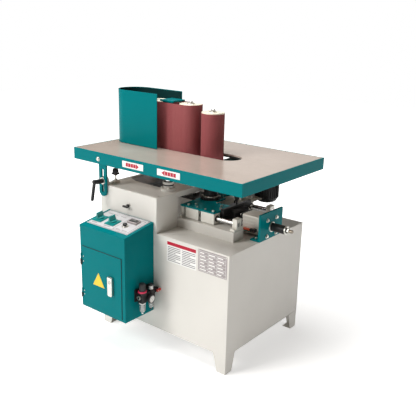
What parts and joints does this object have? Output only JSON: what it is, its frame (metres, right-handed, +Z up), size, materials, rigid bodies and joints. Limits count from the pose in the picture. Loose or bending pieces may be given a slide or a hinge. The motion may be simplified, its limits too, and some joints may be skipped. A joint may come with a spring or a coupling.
{
  "type": "drum and belt sander",
  "caption": "Floor-standing sander: a vertical guarded abrasive belt and a sanding drum stand through a height-adjustable table on a sheet-metal cabinet with a control box.",
  "frame": {"origin": "centre of the bounding box's bottom face, on the floor the machine stands on", "axes": "+Z up; +X along the table's front edge, from the guard to the sanding drum; +Y from the control box at the front to the rear"},
  "size_m": [1.051, 0.8496, 1.147],
  "materials": {
    "white_paint": "semi-gloss light grey-white enamel",
    "teal_paint": "semi-gloss blue-green enamel",
    "table_steel": "ground and oiled plate",
    "bright_steel": "ground steel",
    "zinc_steel": "zinc-plated",
    "cast_grey": "grey painted casting",
    "alu_block": "satin anodised",
    "black_metal": "black enamel",
    "black_plastic": "moulded",
    "teal_plastic": "moulded",
    "abrasive": "aluminium-oxide cloth",
    "drum_cream": "turned nylon",
    "clear_bowl": "clear polycarbonate",
    "red_plastic": "moulded",
    "fascia": "pale film",
    "rubber_belt": "moulded"
  },
  "bodies": {
    "cabinet": {"air_tube": "red_plastic", "air_unit_body": "black_metal", "air_unit_bowls": "clear_bowl", "belt_motor": "cast_grey", "body_panels": "white_paint", "box_shell": "teal_paint", "bracket_bolts": "zinc_steel", "cabinet_feet": "white_paint", "clamp_stud": "zinc_steel", "column_flanges": "white_paint", "contactor_bank": "black_plastic", "control_panel": "fascia", "cylinder_barrel": "black_metal", "cylinder_bracket": "teal_paint", "deck_panel": "white_paint", "door_hinges": "black_metal", "drive_housing": "cast_grey", "front_panel": "white_paint", "head_top_panel": "white_paint", "panel_fittings": "teal_plastic", "platen": "bright_steel", "platen_bracket": "teal_paint", "rail_plinths": "white_paint", "rail_shafts": "bright_steel", "sanding_belt": "abrasive", "shaft_supports": "alu_block", "tracking_block": "zinc_steel"},
    "table": {"table_top": "table_steel", "table_apron": "teal_paint", "clamp_link": "teal_paint", "table_columns": "bright_steel", "guard_shell": "teal_paint"},
    "carriage": {"carriage_plate": "teal_paint", "bearing_blocks": "alu_block", "carriage_bolts": "zinc_steel", "cylinder_rod": "bright_steel", "tension_block": "black_metal", "idler_post": "bright_steel", "drum_housing": "alu_block", "spindle_bearings": "bright_steel", "motor_arm": "cast_grey", "drum_motor": "black_metal", "drive_belt": "rubber_belt"},
    "drive_unit": {"drive_drum": "drum_cream", "drive_spindle": "bright_steel"},
    "idler": {"idler_drum": "drum_cream"},
    "sanding_drum": {"small_drum": "drum_cream", "sanding_sleeve": "abrasive", "small_spindle": "bright_steel"},
    "motor_wheel": {"motor_pulley": "bright_steel"},
    "clamp_handle": {"clamp_lever": "black_metal"},
    "tracking_wheel": {"tracking_knob": "black_plastic"},
    "panel_lock": {"panel_lock_knob": "black_plastic"},
    "door": {"box_door": "teal_paint"},
    "latch": {"door_latch": "zinc_steel"},
    "switch_left": {"switch_knob_left": "teal_plastic"},
    "switch_right": {"switch_knob_right": "teal_plastic"},
    "button": {"stop_button": "black_plastic"},
    "regulator": {"regulator_knob": "black_plastic"},
    "valve": {"valve_lever": "red_plastic"}
  },
  "joints": [
    {"name": "table_lift", "type": "slide", "parent": "cabinet", "child": "table", "axis": [0, 0, 1], "range_m": [-0.045, 0.045]},
    {"name": "belt_tension_slide", "type": "slide", "parent": "cabinet", "child": "carriage", "axis": [1, 0, 0], "range_m": [-0.014, 0]},
    {"name": "drive_drum_spin", "type": "hinge", "parent": "cabinet", "child": "drive_unit", "pos_m": [-0.2755, 0.10325, 0.96], "axis": [0, 0, 1], "continuous": true},
    {"name": "idler_drum_spin", "type": "hinge", "parent": "carriage", "child": "idler", "pos_m": [-0.0805, 0.10325, 0.96], "axis": [0, 0, 1], "continuous": true},
    {"name": "sanding_drum_spin", "type": "hinge", "parent": "carriage", "child": "sanding_drum", "pos_m": [0.0545, 0.10325, 0.95], "axis": [0, 0, 1], "continuous": true},
    {"name": "motor_pulley_spin", "type": "hinge", "parent": "carriage", "child": "motor_wheel", "pos_m": [0.2365, 0.31325, 0.8], "axis": [0, 0, 1], "continuous": true},
    {"name": "clamp_lever_turn", "type": "hinge", "parent": "cabinet", "child": "clamp_handle", "pos_m": [-0.3325, -0.25375, 0.747], "axis": [0, -1, 0], "range_deg": [0, 90]},
    {"name": "tracking_knob_turn", "type": "hinge", "parent": "cabinet", "child": "tracking_wheel", "pos_m": [-0.3215, -0.16275, 0.775], "axis": [0, 0, 1], "continuous": true},
    {"name": "panel_lock_turn", "type": "hinge", "parent": "cabinet", "child": "panel_lock", "pos_m": [-0.1715, -0.23875, 0.655], "axis": [0, 1, 0], "range_deg": [0, 90]},
    {"name": "door_open", "type": "hinge", "parent": "cabinet", "child": "door", "pos_m": [-0.2935, -0.41375, 0.335], "axis": [0, 0, -1], "range_deg": [0, 110]},
    {"name": "door_latch_lift", "type": "hinge", "parent": "door", "child": "latch", "pos_m": [-0.0965, -0.41675, 0.376], "axis": [-1, 0, 0], "range_deg": [0, 40]},
    {"name": "switch_left_turn", "type": "hinge", "parent": "cabinet", "child": "switch_left", "pos_m": [-0.2555, -0.32375, 0.59501], "axis": [0, -0.1626, 0.9867], "range_deg": [-45, 45]},
    {"name": "switch_right_turn", "type": "hinge", "parent": "cabinet", "child": "switch_right", "pos_m": [-0.1735, -0.32375, 0.59501], "axis": [0, -0.1626, 0.9867], "range_deg": [-45, 45]},
    {"name": "stop_button_press", "type": "slide", "parent": "cabinet", "child": "button", "axis": [0, 0.1626, -0.9867], "range_m": [0, 0.004], "stiffness_N_per_m": 400},
    {"name": "regulator_knob_turn", "type": "hinge", "parent": "cabinet", "child": "regulator", "pos_m": [0.0165, -0.33075, 0.335], "axis": [0, 0, 1], "continuous": true},
    {"name": "valve_lever_turn", "type": "hinge", "parent": "cabinet", "child": "valve", "pos_m": [0.0349, -0.25375, 0.3], "axis": [1, 0, 0], "range_deg": [0, 90]}
  ],
  "couplings": [
    {"joint": "idler_drum_spin", "follows": "drive_drum_spin", "ratio": 1},
    {"joint": "motor_pulley_spin", "follows": "sanding_drum_spin", "ratio": 1}
  ]
}
